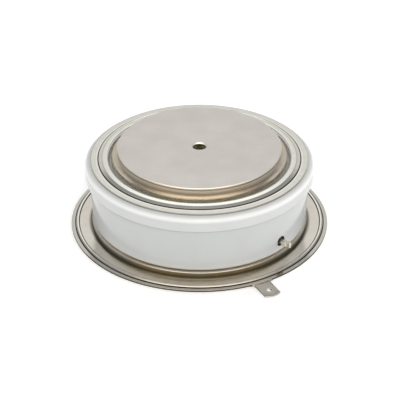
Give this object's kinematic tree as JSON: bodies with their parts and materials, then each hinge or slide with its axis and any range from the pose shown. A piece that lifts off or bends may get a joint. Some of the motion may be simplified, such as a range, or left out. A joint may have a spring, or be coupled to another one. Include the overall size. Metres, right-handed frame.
{
  "type": "disc thyristor",
  "caption": "Flat press-pack disc thyristor: copper pole faces in a glazed ceramic ring with a welded flange, a gate tube and a cathode tab, clamped between heat sinks.",
  "frame": {"origin": "centre of the cathode contact face, on which the part stands", "axes": "+Z from the cathode contact face to the anode contact face; the tab and the gate tube point between -Y and +X"},
  "size_m": [0.075, 0.0772, 0.027],
  "materials": {
    "plated_copper": "satin nickel plating on copper",
    "braze": "molten silver-copper braze",
    "bright_sheet": "bright plated sheet",
    "flange_sheet": "bright plated sheet, stained at its bend",
    "glazed_alumina": "glossy glaze",
    "molybdenum": "ground",
    "silicon": "polished",
    "silicone_rubber": "cast",
    "insulator_plastic": "machined",
    "spring_steel": "drawn wire",
    "gate_contact": "silver plating"
  },
  "bodies": {
    "root": {"anode_pole": "plated_copper", "anode_braze": "braze", "anode_diaphragm": "bright_sheet", "ceramic_housing": "glazed_alumina", "housing_weld_flange": "flange_sheet", "lid_weld_flange": "flange_sheet", "cathode_braze": "braze", "cathode_pole": "plated_copper", "anode_molybdenum_disc": "molybdenum", "silicon_wafer": "silicon", "cathode_molybdenum_disc": "molybdenum", "wafer_edge_rubber": "silicone_rubber", "locating_ring": "insulator_plastic", "gate_insulator_cup": "insulator_plastic", "gate_spring": "spring_steel", "gate_plunger": "gate_contact", "gate_guide": "insulator_plastic", "gate_lead": "gate_contact", "gate_lead_sleeve": "insulator_plastic", "gate_tube": "bright_sheet", "gate_eyelet": "bright_sheet"}
  },
  "joints": []
}
